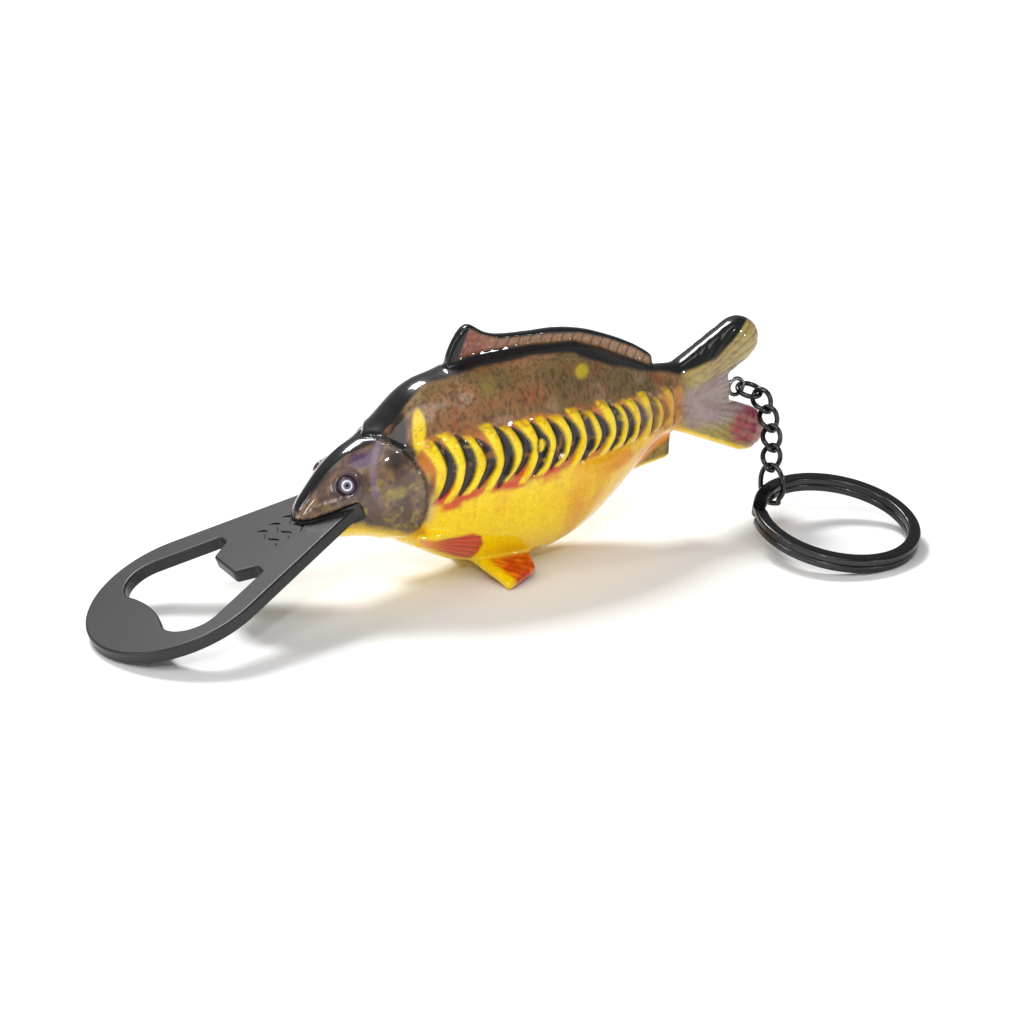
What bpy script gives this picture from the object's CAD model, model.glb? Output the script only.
"""Looks of the carp bottle opener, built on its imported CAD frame.

Lengths are in mm unless a name says otherwise.
"""

import math

import bmesh
import bpy
import numpy as np
from mathutils import Matrix, Vector


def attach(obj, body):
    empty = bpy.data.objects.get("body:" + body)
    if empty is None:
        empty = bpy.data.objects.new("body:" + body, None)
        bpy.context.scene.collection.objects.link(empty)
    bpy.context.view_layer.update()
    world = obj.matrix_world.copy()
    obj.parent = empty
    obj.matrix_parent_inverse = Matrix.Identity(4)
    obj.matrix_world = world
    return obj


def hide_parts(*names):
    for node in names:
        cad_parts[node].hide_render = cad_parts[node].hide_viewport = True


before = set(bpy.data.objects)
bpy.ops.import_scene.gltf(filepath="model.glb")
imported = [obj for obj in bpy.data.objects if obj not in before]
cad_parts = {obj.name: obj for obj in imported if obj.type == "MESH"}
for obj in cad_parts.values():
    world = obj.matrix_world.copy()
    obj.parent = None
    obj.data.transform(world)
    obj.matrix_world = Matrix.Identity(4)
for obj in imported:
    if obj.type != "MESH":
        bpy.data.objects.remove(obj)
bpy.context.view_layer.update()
MM = 0.001

# The carp's own layout: x runs from the plate's outer end to the tail, s is the distance
# from the plane of symmetry, z is the height. Both are printed alike, so the paint is laid
# out on a slanted side view: a = x + SLANT_A * s and h = z - SLANT_H * s.
MID_X = 74.6
MID_Y = -11.5
SLANT_A = 0.58
SLANT_H = 0.467

VOXEL = 0.31
SMOOTH_STEPS = 9
THIN_STEPS = 14
LOBE_STEPS = 4
LOBE_ROOT_X = 116.0
TAIL_LOBES = ((27.6, 128.4, 34.4), (22.8, 130.4, 16.4))  # root z, tip x, tip z
LOBE_SWELL = 0.75


# ------------------------------------------------------------------ number helpers
def smooth(low, high, value):
    """0 below low, 1 above high, with a soft ramp between."""
    t = np.clip((value - low) / (high - low), 0.0, 1.0)
    return t * t * (3 - 2 * t)


def line(points, value):
    """Piecewise linear curve through (position, height) points."""
    return np.interp(value, [p[0] for p in points], [p[1] for p in points])


def lattice(cells, seed):
    """A repeatable random number from 0 to 1 for each whole-numbered cell."""
    n = cells[:, 0] * 127.1 + cells[:, 1] * 311.7 + cells[:, 2] * 74.7 + seed * 53.3
    return np.modf(np.abs(np.sin(n) * 43758.5453))[0]


def noise(points, size, seed):
    """Smooth value noise from 0 to 1, of a given feature size."""
    scaled = points / size
    cell = np.floor(scaled)
    f = scaled - cell
    f = f * f * (3 - 2 * f)
    total = np.zeros(len(points))
    for corner in range(8):
        step = np.array([corner & 1, corner >> 1 & 1, corner >> 2 & 1], float)
        weight = np.prod(np.where(step > 0, f, 1 - f), axis=1)
        total += weight * lattice(cell + step, seed)
    return total


def mix(colours, other, share):
    """Lays a colour over the colours, by a share from 0 to 1 for each vertex."""
    share = np.clip(share, 0, 1)[:, None]
    return colours * (1 - share) + np.array(other) * share


def srgb(r, g, b):
    """An 8-bit screen colour as linear light."""
    return tuple(((c / 255 + 0.055) / 1.055) ** 2.4 if c > 10 else c / 255 / 12.92 for c in (r, g, b))


# ------------------------------------------------------------------ carp: smooth body
def remeshed_copy(node, name, voxel):
    """A new object with the node's shape as one even, closed mesh."""
    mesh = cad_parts[node].data.copy()
    work = bmesh.new()
    work.from_mesh(mesh)
    bmesh.ops.remove_doubles(work, verts=work.verts, dist=1e-6)
    work.to_mesh(mesh)
    work.free()
    source = bpy.data.objects.new(name + "_source", mesh)
    bpy.context.scene.collection.objects.link(source)
    remesh = source.modifiers.new("remesh", "REMESH")
    remesh.mode = "VOXEL"
    remesh.voxel_size = voxel * MM
    remesh.adaptivity = 0.0
    graph = bpy.context.evaluated_depsgraph_get()
    made = bpy.data.meshes.new_from_object(source.evaluated_get(graph))
    bpy.data.objects.remove(source)
    made.name = name
    made.materials.clear()
    result = bpy.data.objects.new(name, made)
    bpy.context.scene.collection.objects.link(result)
    return result


def vertices(mesh):
    """The mesh's vertices in mm."""
    out = np.empty(len(mesh.vertices) * 3)
    mesh.vertices.foreach_get("co", out)
    return out.reshape(-1, 3) / MM


def set_vertices(mesh, points):
    mesh.vertices.foreach_set("co", (points * MM).astype(np.float32).ravel())
    mesh.update()


def normals(mesh):
    out = np.empty(len(mesh.vertices) * 3)
    mesh.vertex_normals.foreach_get("vector", out)
    return out.reshape(-1, 3)


def relax(points, edges, steps, strength):
    """Rounds a surface off by moving each vertex towards its neighbours."""
    count = np.bincount(edges.ravel(), minlength=len(points))[:, None]
    for _ in range(steps):
        total = np.empty_like(points)
        for axis in range(3):
            total[:, axis] = np.bincount(edges[:, 0], points[edges[:, 1], axis], len(points))
            total[:, axis] += np.bincount(edges[:, 1], points[edges[:, 0], axis], len(points))
        points = points + (total / count - points) * strength
    return points


def mesh_edges(mesh):
    out = np.empty(len(mesh.edges) * 2, int)
    mesh.edges.foreach_get("vertices", out)
    return out.reshape(-1, 2)


carp = remeshed_copy("fish_body", "carp", VOXEL)
edges = mesh_edges(carp.data)
points = relax(vertices(carp.data), edges, SMOOTH_STEPS, np.full((len(carp.data.vertices), 1), 0.5))
layout_x = points[:, 0] + MID_X
side = np.abs(points[:, 1] + MID_Y)

# The tail and the anal fin are thin plates in the CAD solid, so they are rounded further.
tail_plate = smooth(112.0, 118.0, layout_x)
anal_plate = smooth(101.0, 103.0, layout_x) * (side < 1.6) * (points[:, 2] < 17.0)
points = relax(points, edges, THIN_STEPS, 0.5 * np.clip(tail_plate + anal_plate, 0, 1)[:, None])

# Each lobe of the tail swells round the line from its root to its tip.
lobes = np.zeros(len(points))
for root_z, tip_x, tip_z in TAIL_LOBES:
    run = np.array([tip_x - LOBE_ROOT_X, tip_z - root_z])
    reach = np.stack([layout_x - LOBE_ROOT_X, points[:, 2] - root_z], axis=1)
    along = np.clip(reach @ run / (run @ run), 0, 1)
    lobes = np.maximum(lobes, smooth(4.6, 0.6, np.linalg.norm(reach - along[:, None] * run, axis=1)))
swell = lobes * smooth(114.0, 120.0, layout_x) * (side > 0.9) * LOBE_SWELL
points[:, 1] += np.sign(points[:, 1] + MID_Y) * swell
points = relax(points, edges, LOBE_STEPS, np.full((len(points), 1), 0.5))
set_vertices(carp.data, points)

# ------------------------------------------------------------------ carp: layout
x = points[:, 0] + MID_X
y = points[:, 1] + MID_Y
z = points[:, 2]
s = np.abs(y)
a = x + SLANT_A * s
h = z - SLANT_H * s
own = np.stack([x, s, z], axis=1)

GILL = [(48.7, 30.0), (52.0, 29.2), (54.8, 27.7), (58.0, 25.4), (60.4, 22.6), (62.3, 19.8),
        (63.1, 17.0), (63.2, 14.0), (62.5, 11.3), (61.2, 9.6), (58.5, 8.6), (54.0, 9.4)]
DORSAL_TOP = [(66.5, 40.0), (69.2, 45.6), (71.0, 46.7), (73.2, 45.4), (77.0, 43.9), (86.0, 43.3),
              (93.5, 42.3), (99.5, 40.2), (105.5, 37.3), (109.4, 34.6)]
DORSAL_BASE = [(66.0, 40.2), (71.0, 41.0), (75.0, 41.3), (84.0, 40.9), (92.3, 40.1), (98.0, 37.9),
               (103.6, 35.1), (108.4, 32.8)]
BLACK_EDGE = [(35.0, 15.8), (38.2, 18.8), (43.0, 23.8), (46.5, 26.2), (50.0, 27.4), (53.0, 28.4), (56.0, 30.4),
              (58.0, 33.0), (59.6, 34.8), (62.1, 37.0), (70.0, 37.6), (76.7, 38.0), (84.5, 38.2), (92.9, 37.1),
              (101.0, 33.6), (108.7, 31.4), (113.6, 30.3), (115.5, 29.2), (119.0, 29.8), (123.6, 31.0),
              (126.5, 33.0), (128.7, 35.0), (131.0, 38.0), (140.0, 46.0)]
ANAL_BASE = [(100, 9.0), (103, 11.0), (109, 15.8), (116, 19.6)]
BELLY_TOP = [(50, 13.2), (63, 14.0), (72, 14.6), (82, 15.0), (92, 15.6), (101, 17.4), (110, 19.0), (117, 19.4)]
ROW_HALF = [(60, 6.4), (70, 6.8), (85, 6.2), (100, 5.0), (110, 4.3), (116, 3.6)]
ROW_MID = [(60, 19.8), (90, 20.8), (104, 22.0), (116, 23.2)]
THROAT_TOP = [(36, 15.2), (44, 14.8), (50, 12.6), (56, 10.6), (60, 9.0), (64, 8.0)]
LIP_LINE = [(34, 16.4), (36.1, 16.5), (42, 18.3), (48.8, 18.6)]
PELVIC_FRONT = [(0, 67.6), (3.6, 69.2), (13.4, 72.0), (20, 74)]  # s, x

# ovals on the side view: a, h and their half sizes
FLANK_SPOT = (94.5, 33.4, 1.0, 1.0)
ROW_RING = (86.2, 20.6, 1.15, 1.9)
NAPE_SHADE = (57.4, 28.2, 1.9, 5.2)
CHEEK_SPOT = (57.3, 17.4, 2.6, 1.4)
BROW = (50.0, 25.0, 2.8, 2.0)
COVER_SHADE = (57.0, 23.4, 2.8, 2.0)


def polyline_distance(route, a, h):
    """Distance to an open line, and which side of it: positive on its left."""
    best = np.full(len(a), 1e9)
    side = np.zeros(len(a))
    for (a0, h0), (a1, h1) in zip(route, route[1:]):
        da, dh = a1 - a0, h1 - h0
        t = np.clip(((a - a0) * da + (h - h0) * dh) / (da * da + dh * dh), 0, 1)
        ea, eh = a - a0 - t * da, h - h0 - t * dh
        d = np.hypot(ea, eh)
        nearer = d < best
        best = np.where(nearer, d, best)
        side = np.where(nearer, np.sign(da * eh - dh * ea), side)
    return best, side


def patch(outline, a, h, soft):
    """1 inside a closed outline and 0 outside, with a soft edge."""
    closed = outline + outline[:1]
    distance = polyline_distance(closed, a, h)[0]
    inside = np.zeros(len(a), bool)
    for (a0, h0), (a1, h1) in zip(closed, closed[1:]):
        crosses = (h0 > h) != (h1 > h)
        at_a = a0 + (h - h0) * (a1 - a0) / (h1 - h0 if h1 != h0 else 1.0)
        inside ^= crosses & (a < at_a)
    return smooth(-soft, soft, np.where(inside, distance, -distance))


def oval(at_a, at_h, half_a, half_h):
    """Distance from a place on the side view, counted in an oval's half sizes."""
    return np.hypot((a - at_a) / half_a, (h - at_h) / half_h)


def fan(a, h, root, spread):
    """Position across a fan of rays from a root point, counted in rays, and the distance from the root."""
    return np.arctan2(h - root[1], a - root[0]) / spread, np.hypot(a - root[0], h - root[1])


def off_ray(place):
    """0 on a ray and 1 halfway to the next, for a position counted in rays."""
    return np.abs(place - np.round(place)) * 2


# regions of the carp, each a share from 0 to 1
PELVIC_SLOPE_DEG = 17.0
HEAD_END_X = 62
BODY_END_X = 118
dorsal = (smooth(-0.1, 0.5, z - line(DORSAL_BASE, x)) * smooth(66.0, 67.0, x)
          * smooth(110.2, 109.2, x) * (s < 2.5))
tail = smooth(113.0, 117.5, x)
pelvic_plane_z = 3.75 - (s - 3.6) * math.tan(math.radians(PELVIC_SLOPE_DEG))
pelvic = (smooth(3.9, 5.2, s) * smooth(1.5, 1.1, np.abs(z - pelvic_plane_z)) * smooth(66.0, 67.0, x)
          * smooth(84.0, 82.0, x) * smooth(4.4, 3.4, z))
anal = smooth(-0.2, 0.6, line(ANAL_BASE, x) - z) * (s < 2.2) * (x > 101) * (x < 115)
gill_d, gill_side = polyline_distance(GILL, a, h)
head = np.where(gill_side < 0, 1.0, 0.0) * (x < HEAD_END_X)

# ------------------------------------------------------------------ carp: crescent scales
CRESCENTS = 16
FIRST_A = 62.6
FIRST_STEP = 4.15
STEP_LOSS = 0.115
crescents = []
position = FIRST_A
for k in range(CRESCENTS):
    step = FIRST_STEP - STEP_LOSS * k
    share = k / (CRESCENTS - 1)
    height = 6.3 - 2.4 * share ** 1.2 + 0.75 * math.sin(k * 2.6)
    mid_h = 19.9 + 3.0 * share ** 1.6 + 0.25 * math.sin(k * 2.1)
    crescents.append((position, mid_h, height, 3.3 - 2.1 * share, step))
    position += step

ridge = np.zeros(len(x))
yellow = np.zeros(len(x))
gap = np.zeros(len(x))
wobble = (noise(own, 3.0, 1) - 0.5) * 1.5
for mid_a, mid_h, half, bulge, step in crescents:
    up = (h - mid_h) / half
    inside = np.clip(1 - up * up, 0, 1)
    arc = mid_a + bulge * inside - 0.7 * np.clip(up, 0, 2)
    width = step * (0.56 + 0.13 * np.clip(up, -1, 1))
    across = a - arc + wobble * 0.5
    body = smooth(width / 2 + 0.22, width / 2 - 0.22, np.abs(across)) * smooth(1.06, 0.94, np.abs(up))
    yellow = np.maximum(yellow, body)
    round_top = np.sqrt(np.clip(1 - (across / (width * 0.62)) ** 2, 0, 1))
    ridge = np.maximum(ridge, round_top * smooth(1.1, 0.7, np.abs(up)))
    lens = (a - arc - step / 2) / (step * 0.27 * np.sqrt(np.clip(1 - (up / 0.9) ** 2, 0.001, 1)))
    gap = np.maximum(gap, smooth(1.35, 0.75, np.abs(lens + wobble * 0.35)) * (np.abs(up) < 0.9))
fade = smooth(115.5, 104.0, a) * 0.75 + 0.25
flank = (1 - head) * (1 - np.clip(dorsal, 0, 1)) * (x < BODY_END_X) * (x > 52)
yellow *= flank * fade
gap *= flank * smooth(116.5, 113.5, a) * (0.4 + 0.6 * fade)
ridge *= flank

# ------------------------------------------------------------------ carp: relief, outwards from the rounded body
RIDGE_RISE = 0.62
GAP_DEPTH = 0.30
GROOVE_DEPTH = 0.34
COVER_RISE = 0.30
NAPE_RISE = 0.42
CROWN_RISE = 0.24
EYE_RIM_RISE = 0.32
EYE_RIM_R = 2.35
EYE = (47.1, 20.8)
FIN_PANEL_DEPTH = 0.34
FIN_RAY_RISE = 0.24
FIN_RAY_SPACING = 2.35
TAIL_FORK = (114.0, 24.8)
TAIL_RAY_RAD = 0.095
TAIL_RAY_DEPTH = 0.15
PECTORAL_ROOT = (59.0, 7.7)
PECTORAL_RAY_RAD = 0.068
PECTORAL_RAY_DEPTH = 0.16
PELVIC_ROOT = (66.5, 2.0)
PELVIC_RAY_RAD = 0.115
PELVIC_RAY_DEPTH = 0.14
UNEVENNESS = 0.07
relief = RIDGE_RISE * ridge * smooth(0, 1, ridge)
relief -= GAP_DEPTH * gap
groove = np.exp(-(gill_d / 0.42) ** 2) * (x < 64)
relief -= GROOVE_DEPTH * groove
relief += COVER_RISE * head * np.exp(-gill_d / 1.6) * (h < 27)
relief += NAPE_RISE * (1 - head) * np.exp(-gill_d / 2.2) * (h > 25) * (x < 66)
black_d = h - line(BLACK_EDGE, a)
relief += CROWN_RISE * smooth(-0.4, 0.5, black_d) * smooth(52, 47, a)
eye_d = np.hypot(a - EYE[0], h - EYE[1])
relief += EYE_RIM_RISE * np.exp(-((eye_d - EYE_RIM_R) / 0.55) ** 2) * (a < 52)
panel = (smooth(0.2, 0.6, z - line(DORSAL_BASE, x)) * smooth(0.55, 1.0, line(DORSAL_TOP, x) - z)
         * smooth(0.0, 0.8, x - 68.2 - (z - 40.5) * 0.42) * smooth(109.0, 108.2, x) * (s < 1.9) * (s > 0.25))
ray_place = (x - 68 - (z - 40) * 0.55) / FIN_RAY_SPACING
ray = off_ray(ray_place)
relief -= panel * (FIN_PANEL_DEPTH - FIN_RAY_RISE * (1 - ray ** 3))
tail_fan, tail_reach = fan(x, z, TAIL_FORK, TAIL_RAY_RAD)
tail_ray = off_ray(tail_fan)
tail_grooves = tail * smooth(8.0, 11.0, tail_reach) * (1 - smooth(0.0, 0.45, tail_ray)) * smooth(1.0, 1.5, s)
relief -= TAIL_RAY_DEPTH * tail_grooves
pectoral_fan, _ = fan(a, h, PECTORAL_ROOT, PECTORAL_RAY_RAD)
PECTORAL = [(60.0, 8.3), (64.6, 6.8), (72.2, 6.7), (73.9, 5.9), (74.2, 4.4), (73.2, 2.9), (71.4, 1.9),
            (69.4, 2.0), (64.0, 4.6)]
pectoral = patch(PECTORAL, a, h, 0.3) * (x > 54) * (x < 72) * smooth(4.2, 5.0, s)
pectoral_ray = off_ray(pectoral_fan)
relief -= PECTORAL_RAY_DEPTH * pectoral * (1 - smooth(0.0, 0.5, pectoral_ray))
pelvic_fan, _ = fan(x, s, PELVIC_ROOT, PELVIC_RAY_RAD)
pelvic_ray = off_ray(pelvic_fan)
relief -= PELVIC_RAY_DEPTH * pelvic * (1 - smooth(0.0, 0.5, pelvic_ray))
relief += (noise(own, 2.2, 5) - 0.5) * UNEVENNESS
surface = normals(carp.data)
points = points + surface * relief[:, None]
points = relax(points, edges, 1, np.full((len(points), 1), 0.35))
points[:, 2] = np.maximum(points[:, 2], 0.0)
set_vertices(carp.data, points)

# ------------------------------------------------------------------ carp: paint
fine = noise(own, 0.42, 11)
speck = noise(own, 0.8, 12)
blot = noise(own, 3.6, 13)
cloud = noise(own, 8.0, 14)
streak = noise(own * np.array([1.0, 1.0, 0.28]), 0.7, 15)

BLACK = srgb(14, 14, 17)
OLIVE = srgb(118, 94, 58)
BROWN = srgb(156, 108, 72)
GREY = srgb(152, 126, 98)
YELLOW = srgb(250, 212, 0)
ORANGE = srgb(232, 132, 14)
AMBER = srgb(196, 118, 30)
RED = srgb(206, 40, 14)
RUST = srgb(160, 70, 34)
INK = srgb(9, 10, 18)
PURPLE = srgb(76, 48, 92)
MAUVE = srgb(126, 98, 76)
TAN = srgb(168, 134, 92)
LAVENDER = srgb(156, 138, 140)
MAGENTA = srgb(176, 60, 92)
GOLD = srgb(178, 158, 92)
FLECK = srgb(40, 34, 26)
FLANK_YELLOW = srgb(196, 168, 40)
MOSS = srgb(150, 140, 60)
STRAW = srgb(206, 170, 60)
DUSK = srgb(86, 66, 96)
NAPE_YELLOW = srgb(246, 208, 24)
OCHRE = srgb(190, 140, 60)
SAND = srgb(196, 166, 130)
HAZEL = srgb(134, 112, 66)
PLUM = srgb(62, 46, 62)
UMBER = srgb(78, 62, 58)
KHAKI = srgb(150, 138, 62)
CHEEK_YELLOW = srgb(186, 166, 70)
SHADE = srgb(30, 26, 34)
LILAC = srgb(150, 128, 160)
THROAT_BROWN = srgb(200, 130, 60)
SOCKET = srgb(58, 42, 60)
LIP = srgb(168, 150, 140)
FIN_FRONT = srgb(150, 74, 56)
FIN_REAR = srgb(172, 128, 92)
FIN_SPECK = srgb(196, 160, 130)
FIN_RAY = srgb(60, 36, 28)
TAIL_MOTTLE = srgb(92, 78, 60)
TAIL_RAY = srgb(86, 70, 58)
WINE = srgb(120, 34, 60)
ANAL_FIN = srgb(150, 128, 70)
ANAL_STREAK = srgb(110, 92, 56)
PEACH = srgb(238, 176, 110)
PECTORAL_RAY = srgb(140, 24, 14)
PELVIC_FIN = srgb(236, 120, 10)
PELVIC_BLOT = srgb(206, 62, 10)
PELVIC_RAY = srgb(150, 34, 10)
BRIGHT_YELLOW = srgb(255, 228, 40)

paint = np.tile(np.array(OLIVE), (len(x), 1))
paint = mix(paint, BROWN, smooth(0.35, 0.65, cloud) * 0.8)
paint = mix(paint, GREY, smooth(0.55, 0.8, blot) * 0.6)
rust = smooth(0.5, 0.85, noise(own, 3.4, 21)) * smooth(0.3, 0.7, speck) * smooth(24, 30, h)
paint = mix(paint, RUST, rust * 0.6)
paint = mix(paint, OLIVE, smooth(0.5, 0.8, streak) * 0.55)
paint = mix(paint, FLECK, smooth(0.45, 0.75, noise(own * np.array([1.0, 1.0, 0.22]), 0.34, 16)) * 0.50)
paint = mix(paint, FLANK_YELLOW, smooth(1.9, 0.9, oval(*FLANK_SPOT)) * 0.9)
paint = mix(paint, MOSS, smooth(0.6, 0.9, noise(own, 4.2, 22)) * smooth(30, 34, h) * 0.55)

# belly, with its upper edge under the row of scales
belly_top = line(BELLY_TOP, a)
belly = smooth(1.6, -1.6, h - belly_top + (blot - 0.5) * 2.0)
paint = mix(paint, YELLOW, belly)
paint = mix(paint, ORANGE, belly * smooth(84, 106, a) * (0.35 + 0.65 * smooth(0.4, 0.75, blot)) * 0.8)
paint = mix(paint, ORANGE, belly * smooth(0.62, 0.86, cloud) * 0.45)
paint = mix(paint, AMBER, belly * smooth(0.60, 0.9, streak) * smooth(5, 12, h) * 0.3)

# row of scales
row_half = line(ROW_HALF, a)
row_mid = line(ROW_MID, a)
row_share = (smooth(1.08, 0.86, np.abs(h - row_mid + (blot - 0.5)) / row_half) * smooth(60.0, 62.5, a)
             * smooth(117.5, 115.0, a) * flank)
row_top = smooth(0.55, 0.95, (h - row_mid) / row_half)
paint = mix(paint, AMBER, row_share * (0.92 - 0.75 * row_top * smooth(0.35, 0.6, noise(own, 1.7, 28))))
paint = mix(paint, RED, row_share * smooth(0.5, 0.72, noise(own, 2.6, 23)) * smooth(18.5, 15.0, h) * 0.9)
red_band = smooth(1.5, 0.5, np.abs(h - belly_top + 0.9 - (blot - 0.5) * 1.6))
red_band *= smooth(64.5, 67, a) * smooth(96, 80, a)
paint = mix(paint, RED, red_band * flank * smooth(0.38, 0.62, noise(own, 3.4, 24)) * 0.9)
gap_dark = gap * (0.98 - 0.35 * smooth(0.66, 0.88, speck)) * smooth(0.15, 0.4, row_share)
tops = smooth(0.35, 0.95, (h - row_mid) / row_half)
paint = mix(paint, YELLOW, yellow * (0.97 - 0.55 * tops * smooth(0.35, 0.7, speck)))
paint = mix(paint, BRIGHT_YELLOW, yellow * smooth(0.45, 0.85, ridge) * smooth(0.3, 0.6, blot) * 0.7)
paint = mix(paint, AMBER, yellow * smooth(0.56, 0.80, fine) * (0.35 + 0.45 * tops) * smooth(60, 64, a))
paint = mix(paint, INK, gap_dark)
paint = mix(paint, RED, gap_dark * smooth(0.66, 0.78, noise(own, 2.0, 25)) * smooth(17.5, 14.5, h) * 0.7)
ring_d = oval(*ROW_RING)
paint = mix(paint, INK, smooth(0.30, 0.10, np.abs(ring_d - 1.0)) * flank * 0.95)
paint = mix(paint, YELLOW, smooth(0.75, 0.5, ring_d) * flank)
paint = mix(paint, STRAW, (1 - gap) * row_share * smooth(100, 108, a) * smooth(0.5, 0.7, streak) * 0.7)
paint = mix(paint, DUSK, row_share * smooth(104, 112, a) * smooth(0.5, 0.75, blot) * 0.7)

# nape, tall yellow mark and dark flecks behind the gill cover
nape_bow = 0.9 * np.cos((h - 27.6) / 4.6)
nape = smooth(1.15, 0.7, np.hypot((a - 60.6 - nape_bow) / 1.45, (h - 28.2) / 4.3)) * (1 - head)
nape_dark = smooth(1.25, 0.6, oval(*NAPE_SHADE)) * (1 - head)
paint = mix(paint, BLACK, nape_dark * 0.92)
paint = mix(paint, NAPE_YELLOW, nape * (1.0 - 0.5 * smooth(0.55, 0.8, fine)))
behind = smooth(2.6, 0.6, gill_d) * (1 - head) * smooth(50, 53, a) * (x < 66) * smooth(9, 12, h)
paint = mix(paint, BLACK, behind * smooth(0.42, 0.6, noise(own, 1.9, 26)) * smooth(13, 17, h) * 0.85)
paint = mix(paint, OCHRE, behind * smooth(0.56, 0.7, noise(own, 1.7, 27)) * smooth(12, 18, h) * 0.8)
paint = mix(paint, SAND, behind * smooth(18, 13, h) * 0.6)

# head
paint = mix(paint, MAUVE, head)
paint = mix(paint, HAZEL, head * smooth(0.42, 0.62, fine) * smooth(26, 20, h) * 0.55)
paint = mix(paint, PLUM, head * smooth(0.50, 0.70, speck) * 0.55)
paint = mix(paint, UMBER, head * smooth(0.4, 0.7, noise(own * np.array([1.0, 1.0, 0.35]), 1.6, 31)) * 0.75)
cover_flecks = smooth(0.5, 0.75, noise(own, 1.3, 32)) * smooth(0.35, 0.65, fine)
paint = mix(paint, KHAKI, head * cover_flecks * smooth(44, 50, a) * smooth(24, 18, h) * 0.6)
paint = mix(paint, CHEEK_YELLOW, head * smooth(1.2, 0.2, oval(*CHEEK_SPOT)) * 0.45)
paint = mix(paint, PURPLE, head * smooth(1.2, 0.4, oval(*BROW)) * 0.8)
paint = mix(paint, SHADE, head * smooth(1.2, 0.5, oval(*COVER_SHADE)) * 0.7)
cover_front = smooth(1.0, 0.4, np.abs(a - 52.4 - 0.027 * (22 - h) ** 2)) * smooth(16, 19, h)
paint = mix(paint, LILAC, head * cover_front * 0.35)
gill_line = smooth(0.75, 0.15, gill_d) * (x < HEAD_END_X) * smooth(9.0, 12.0, h) * smooth(50, 54, a)
paint = mix(paint, BLACK, gill_line * 0.7)
throat = smooth(1.0, -1.2, h - line(THROAT_TOP, a)) * (x < 66)
paint = mix(paint, YELLOW, throat)
paint = mix(paint, THROAT_BROWN, throat * smooth(0.35, 0.1, np.abs(h - 12.2 + 0.16 * (a - 52))) * 0.6)
paint = mix(paint, SOCKET, smooth(3.6, 2.2, eye_d + (speck - 0.5)) * (x < 50) * 0.75)
lip = smooth(0.45, 0.1, np.abs(h - line(LIP_LINE, a) - 0.15)) * (x < 45)
paint = mix(paint, LIP, lip * smooth(0.35, 0.6, fine))

# black back with a soft lower edge
back = smooth(-0.75, 0.45, black_d + (blot - 0.5) * 0.8) * (1 - dorsal)
paint = mix(paint, BLACK, back)

# dorsal fin
rim = dorsal * (1 - panel)
paint = mix(paint, BLACK, rim)
fin_tint = mix(np.tile(np.array(FIN_FRONT), (len(x), 1)), FIN_REAR, smooth(70, 80, x))
fin_tint = mix(fin_tint, FIN_SPECK, smooth(0.55, 0.8, fine) * 0.5)
fin_tint = fin_tint * 0.8
fin_tint = mix(fin_tint, FIN_RAY, (1 - smooth(0.08, 0.30, ray)) * smooth(72, 78, x) * 0.75)
paint = paint * (1 - panel)[:, None] + fin_tint * panel[:, None]

# tail
tail_paint = np.tile(np.array(GOLD), (len(x), 1))
tail_paint = mix(tail_paint, TAN, smooth(0.4, 0.7, blot) * 0.7)
mottle = noise(own * np.array([0.5, 1, 1.2]), 0.55, 41)
tail_paint = mix(tail_paint, TAIL_MOTTLE, smooth(0.5, 0.75, mottle) * 0.35)
fork = smooth(29.5, 27.0, z - 0.25 * (x - 120)) * smooth(17.5, 21.0, z)
tail_paint = mix(tail_paint, LAVENDER, fork * 0.85)
blush = smooth(6.2, 3.0, np.hypot(x - 130.6, (z - 17.4) * 1.2))
tail_paint = mix(tail_paint, MAGENTA, blush * (0.5 + 0.45 * smooth(0.35, 0.6, speck)))
tail_paint = mix(tail_paint, TAIL_RAY, (1 - smooth(0.0, 0.5, tail_ray)) * smooth(8.0, 11.0, tail_reach) * 0.5)
tip_specks = smooth(4.4, 2.4, np.hypot(x - 131.6, z - 16.2)) * smooth(0.55, 0.75, speck)
tail_paint = mix(tail_paint, WINE, tip_specks * 0.7)
lower_lobe_d = (x - 116.0) * -0.406 + (z - 22.8) * -0.914
tail_paint = mix(tail_paint, YELLOW, smooth(2.7, 3.5, lower_lobe_d + 0.25 * (1.5 - s)))
tail_back = smooth(-0.5, 0.5, black_d + (blot - 0.5) * 0.8)
tail_paint = mix(tail_paint, BLACK, tail_back)
paint = paint * (1 - tail)[:, None] + tail_paint * tail[:, None]

# lower fins
anal_paint = mix(np.tile(np.array(ANAL_FIN), (len(x), 1)), ANAL_STREAK, smooth(0.45, 0.7, streak))
anal_paint = mix(anal_paint, YELLOW, smooth(13.9, 13.0, z - 0.12 * (x - 105)))
paint = paint * (1 - anal)[:, None] + anal_paint * anal[:, None]
pectoral_paint = mix(np.tile(np.array(ORANGE), (len(x), 1)), RED, smooth(63.5, 67.5, a) * 0.85)
pectoral_paint = mix(pectoral_paint, PEACH, smooth(65, 61, a) * 0.8)
pectoral_rays = (1 - smooth(0.1, 0.45, pectoral_ray)) * smooth(62, 66, a)
pectoral_paint = mix(pectoral_paint, PECTORAL_RAY, pectoral_rays * 0.7)
paint = paint * (1 - pectoral)[:, None] + pectoral_paint * pectoral[:, None]
pelvic_paint = np.tile(np.array(PELVIC_FIN), (len(x), 1))
pelvic_paint = mix(pelvic_paint, PELVIC_BLOT, smooth(0.35, 0.65, noise(own, 1.6, 43)))
pelvic_paint = mix(pelvic_paint, PELVIC_RAY, (1 - smooth(0.1, 0.45, pelvic_ray)) * 0.6)
pelvic_paint = mix(pelvic_paint, YELLOW, smooth(2.6, 1.0, x - line(PELVIC_FRONT, s)))
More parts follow.
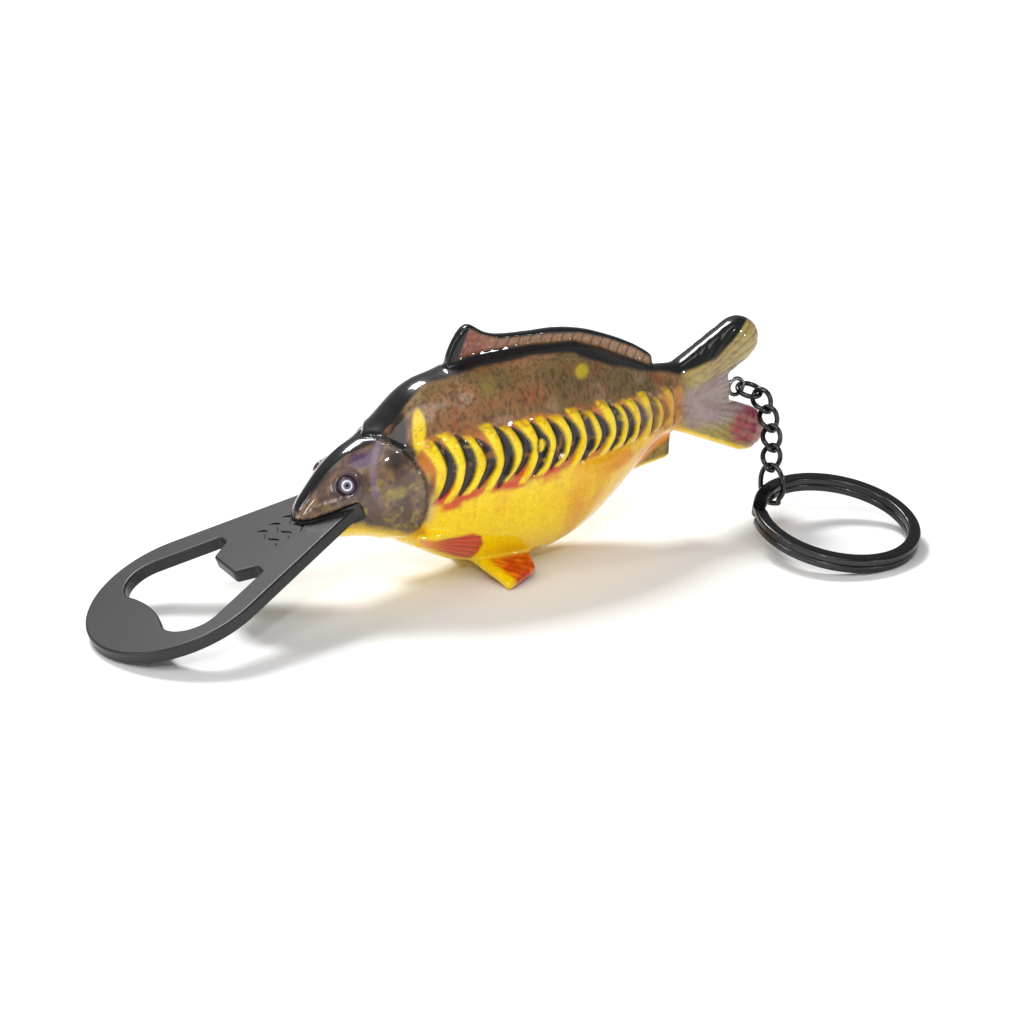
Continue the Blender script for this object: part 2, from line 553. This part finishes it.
paint = paint * (1 - pelvic)[:, None] + pelvic_paint * pelvic[:, None]

paint *= (0.90 + 0.20 * fine)[:, None]


def store_paint(mesh, colours):
    """Keeps a colour for each vertex where the painted material reads it, and shades the mesh smooth."""
    layer = mesh.color_attributes.new("paint", "FLOAT_COLOR", "POINT")
    opaque = np.column_stack([np.clip(colours, 0, 1), np.ones(len(colours))])
    layer.data.foreach_set("color", opaque.astype(np.float32).ravel())
    mesh.polygons.foreach_set("use_smooth", np.ones(len(mesh.polygons), bool))


store_paint(carp.data, paint)


# ------------------------------------------------------------------ materials
def material(name):
    """A new node material: its node tree, its shader and its object coordinates."""
    made = bpy.data.materials.new(name)
    made.use_nodes = True
    tree = made.node_tree
    shader = tree.nodes["Principled BSDF"]
    place = tree.nodes.new("ShaderNodeTexCoord").outputs["Object"]
    return made, tree, shader, place


def noise_node(tree, place, per_m, detail=2.0, rough=0.5):
    node = tree.nodes.new("ShaderNodeTexNoise")
    node.inputs["Scale"].default_value = per_m
    node.inputs["Detail"].default_value = detail
    node.inputs["Roughness"].default_value = rough
    tree.links.new(place, node.inputs["Vector"])
    return node.outputs["Fac"]


def remap(tree, value, low, high, to_low, to_high):
    node = tree.nodes.new("ShaderNodeMapRange")
    tree.links.new(value, node.inputs["Value"])
    for key, number in (("From Min", low), ("From Max", high), ("To Min", to_low), ("To Max", to_high)):
        node.inputs[key].default_value = number
    return node.outputs["Result"]


def bump(tree, value, strength, distance_mm):
    node = tree.nodes.new("ShaderNodeBump")
    node.inputs["Strength"].default_value = strength
    node.inputs["Distance"].default_value = distance_mm * MM
    tree.links.new(value, node.inputs["Height"])
    return node.outputs["Normal"]


def tint(tree, value, dark, light):
    """A colour between two, by a value from 0 to 1."""
    node = tree.nodes.new("ShaderNodeMix")
    node.data_type = "RGBA"
    tree.links.new(value, node.inputs[0])
    node.inputs[6].default_value = (*dark, 1)
    node.inputs[7].default_value = (*light, 1)
    return node.outputs[2]


def metal(name, dark, light, rough, grain_per_m):
    made, tree, shader, place = material(name)
    shader.inputs["Metallic"].default_value = 1.0
    grain = noise_node(tree, place, grain_per_m, 3.0)
    tree.links.new(tint(tree, remap(tree, grain, 0.3, 0.7, 0, 1), dark, light), shader.inputs["Base Color"])
    patches = noise_node(tree, place, grain_per_m / 3)
    tree.links.new(remap(tree, patches, 0.3, 0.7, rough[0], rough[1]), shader.inputs["Roughness"])
    tree.links.new(bump(tree, grain, 0.10, 0.01), shader.inputs["Normal"])
    return made


COAT_ROUGHNESS = 0.035
COAT_IOR = 1.43
SPECKLES_PER_M = 4200.0


def painted(name, speckle):
    """Printed colours under a thick clear coat."""
    made, tree, shader, place = material(name)
    layer = tree.nodes.new("ShaderNodeVertexColor")
    layer.layer_name = "paint"
    dots = noise_node(tree, place, SPECKLES_PER_M, 2.0, 0.7)
    scale = tree.nodes.new("ShaderNodeVectorMath")
    scale.operation = "SCALE"
    tree.links.new(layer.outputs["Color"], scale.inputs[0])
    tree.links.new(remap(tree, dots, 0.3, 0.7, 1 - speckle, 1 + speckle), scale.inputs["Scale"])
    tree.links.new(scale.outputs["Vector"], shader.inputs["Base Color"])
    patches = noise_node(tree, place, 500.0)
    tree.links.new(remap(tree, patches, 0.3, 0.7, 0.30, 0.42), shader.inputs["Roughness"])
    shader.inputs["Coat Weight"].default_value = 1.0
    shader.inputs["Coat Roughness"].default_value = COAT_ROUGHNESS
    shader.inputs["Coat IOR"].default_value = COAT_IOR
    shader.inputs["Specular IOR Level"].default_value = 0.15
    return made


carp.data.materials.append(painted("resin_print", 0.16))
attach(carp, "carp")
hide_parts("fish_body")

# black powder coat
coat, tree, shader, place = material("powder_coat")
grain = noise_node(tree, place, 5200.0, 2.0)
cloudy = noise_node(tree, place, 90.0, 3.0)
shade = tint(tree, remap(tree, cloudy, 0.3, 0.7, 0, 1), (0.010, 0.010, 0.0115), (0.015, 0.015, 0.017))
tree.links.new(shade, shader.inputs["Base Color"])
tree.links.new(remap(tree, grain, 0.3, 0.7, 0.31, 0.41), shader.inputs["Roughness"])
tree.links.new(bump(tree, grain, 0.25, 0.02), shader.inputs["Normal"])

gunmetal = metal("gunmetal", (0.055, 0.054, 0.057), (0.090, 0.088, 0.092), (0.18, 0.28), 900.0)
ring_steel = metal("ring_steel", (0.052, 0.052, 0.055), (0.064, 0.063, 0.067), (0.24, 0.29), 1500.0)
nickel = metal("nickel", (0.20, 0.20, 0.21), (0.30, 0.30, 0.31), (0.18, 0.28), 900.0)

bead, tree, shader, place = material("black_bead")
cloudy = noise_node(tree, place, 260.0, 2.0)
tree.links.new(tint(tree, cloudy, (0.006, 0.006, 0.007), (0.014, 0.014, 0.016)), shader.inputs["Base Color"])
tree.links.new(remap(tree, cloudy, 0.3, 0.7, 0.08, 0.16), shader.inputs["Roughness"])
tree.links.new(bump(tree, cloudy, 0.2, 0.2), shader.inputs["Normal"])

CHAIN_LINKS = 6
finishes = {"opener_plate": coat, "tang_adhesive": bead, "screw_eye": nickel, "split_ring": ring_steel}
for number in range(1, CHAIN_LINKS + 1):
    finishes[f"chain_link_{number}"] = gunmetal
for node, finish in finishes.items():
    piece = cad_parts[node]
    piece.data.materials.clear()
    piece.data.materials.append(finish)

# ------------------------------------------------------------------ eyes
EYE_PLACE = (44.1, 5.15, 23.2)
EYE_FACE = (-0.3, 0.87, 0.38)
EYE_R = 1.5
EYE_RISE = 0.42
EYE_SEGMENTS = 48
# from radius, to radius, screen colour
EYE_BANDS = [(0.0, 0.30, (10, 10, 14)), (0.30, 0.48, (150, 148, 166)), (0.48, 0.60, (70, 66, 88)),
             (0.60, 0.98, (226, 226, 232)), (0.98, 1.14, (120, 104, 124)), (1.14, 9.0, (66, 48, 66))]
eye_finish = painted("eye_print", 0.08)
for hand, node in ((-1, "eye_left"), (1, "eye_right")):
    face = Vector((EYE_FACE[0], hand * EYE_FACE[1], EYE_FACE[2])).normalized()
    centre = Vector((EYE_PLACE[0] - MID_X, hand * EYE_PLACE[1] - MID_Y, EYE_PLACE[2])) + face * 0.3
    turn = face.to_track_quat("Z", "Y").to_matrix()
    work = bmesh.new()
    rings = []
    profile = [(EYE_R * t, EYE_RISE * (1 - t ** 2.2)) for t in np.linspace(0.06, 1.0, 15)]
    profile += [(EYE_R, -0.5), (EYE_R, -1.4)]
    for radius, rise in profile:
        ring = []
        for step in range(EYE_SEGMENTS):
            angle = 2 * math.pi * step / EYE_SEGMENTS
            local = Vector((radius * math.cos(angle), radius * math.sin(angle), rise))
            ring.append(work.verts.new((centre + turn @ local) * MM))
        rings.append(ring)
    for low, high in zip(rings, rings[1:]):
        for step in range(EYE_SEGMENTS):
            following = (step + 1) % EYE_SEGMENTS
            work.faces.new((low[step], high[step], high[following], low[following]))
    work.faces.new(rings[0])
    work.faces.new(list(reversed(rings[-1])))
    bmesh.ops.recalc_face_normals(work, faces=work.faces)
    mesh = bpy.data.meshes.new(node + "_dome")
    work.to_mesh(mesh)
    work.free()
    dome = bpy.data.objects.new(node + "_dome", mesh)
    bpy.context.scene.collection.objects.link(dome)
    spots = vertices(mesh) - np.array(centre)
    along = spots @ np.array(face)
    radial = np.linalg.norm(spots - along[:, None] * np.array(face), axis=1)
    tone = np.zeros((len(spots), 3))
    for low, high, value in EYE_BANDS:
        tone[(radial >= low) & (radial < high)] = srgb(*value)
    store_paint(mesh, tone)
    mesh.materials.append(eye_finish)
    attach(dome, "carp")
    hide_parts(node)

# ------------------------------------------------------------------ studio
FLOOR_HALF_M = 6.0
WORLD_STRENGTH = 0.26
floor_mesh = bpy.data.meshes.new("floor")
floor_mesh.from_pydata([(-FLOOR_HALF_M, -FLOOR_HALF_M, 0), (FLOOR_HALF_M, -FLOOR_HALF_M, 0),
                        (FLOOR_HALF_M, FLOOR_HALF_M, 0), (-FLOOR_HALF_M, FLOOR_HALF_M, 0)], [], [(0, 1, 2, 3)])
floor = bpy.data.objects.new("floor", floor_mesh)
bpy.context.scene.collection.objects.link(floor)
pale, _, shader, _ = material("pale_floor")
shader.inputs["Base Color"].default_value = (0.93, 0.93, 0.93, 1)
shader.inputs["Roughness"].default_value = 0.9
shader.inputs["Specular IOR Level"].default_value = 0.1
floor_mesh.materials.append(pale)

world = bpy.data.worlds.new("studio")
bpy.context.scene.world = world
world.use_nodes = True
world.node_tree.nodes["Background"].inputs["Color"].default_value = (1, 1, 1, 1)
world.node_tree.nodes["Background"].inputs["Strength"].default_value = WORLD_STRENGTH

CAMERA_PLACE = Vector((-235.13, -403.61, 203.06)) * MM
CAMERA_RIGHT = Vector((0.8651, -0.5015, 0.0))
CAMERA_UP = Vector((0.1879, 0.3241, 0.9272))
CAMERA_BACK = Vector((-0.465, -0.8022, 0.3746))
CAMERA_LENS_MM = 100.0
SENSOR_WIDTH_MM = 36.0


def lamp(name, place, target, size, power, shape="RECTANGLE", size_y=None):
    """An area light at a place in metres, aimed at a target."""
    data = bpy.data.lights.new(name, "AREA")
    data.shape = shape
    data.size = size
    if size_y:
        data.size_y = size_y
    data.energy = power
    made = bpy.data.objects.new(name, data)
    made.location = place
    made.rotation_mode = "QUATERNION"
    made.rotation_quaternion = (Vector(place) - Vector(target)).to_track_quat("Z", "Y")
    bpy.context.scene.collection.objects.link(made)


TARGET = (0.0, 0.0, 0.02)
lamp("key", (-0.08, 0.70, 1.05), TARGET, 0.36, 13.5, size_y=0.36)
lamp("top_front", (-0.45, -0.55, 1.05), TARGET, 1.30, 5.0, size_y=0.55)
lamp("front_round", (-0.42, -0.62, 0.55), TARGET, 0.070, 1.5, "DISK")
lamp("left_strip", (-0.95, 0.05, 0.42), TARGET, 0.07, 2.2, size_y=0.5)
lamp("right_round", (0.42, -0.78, 0.22), TARGET, 0.07, 0.8, "DISK")

camera_data = bpy.data.cameras.new("camera")
camera_data.lens = CAMERA_LENS_MM
camera_data.sensor_width = SENSOR_WIDTH_MM
camera_data.clip_start = 0.01
camera_data.clip_end = 50.0
camera = bpy.data.objects.new("camera", camera_data)
camera.matrix_world = Matrix((
    (CAMERA_RIGHT.x, CAMERA_UP.x, CAMERA_BACK.x, CAMERA_PLACE.x),
    (CAMERA_RIGHT.y, CAMERA_UP.y, CAMERA_BACK.y, CAMERA_PLACE.y),
    (CAMERA_RIGHT.z, CAMERA_UP.z, CAMERA_BACK.z, CAMERA_PLACE.z),
    (0, 0, 0, 1),
))
bpy.context.scene.collection.objects.link(camera)
bpy.context.scene.camera = camera
bpy.context.scene.view_settings.view_transform = "Standard"
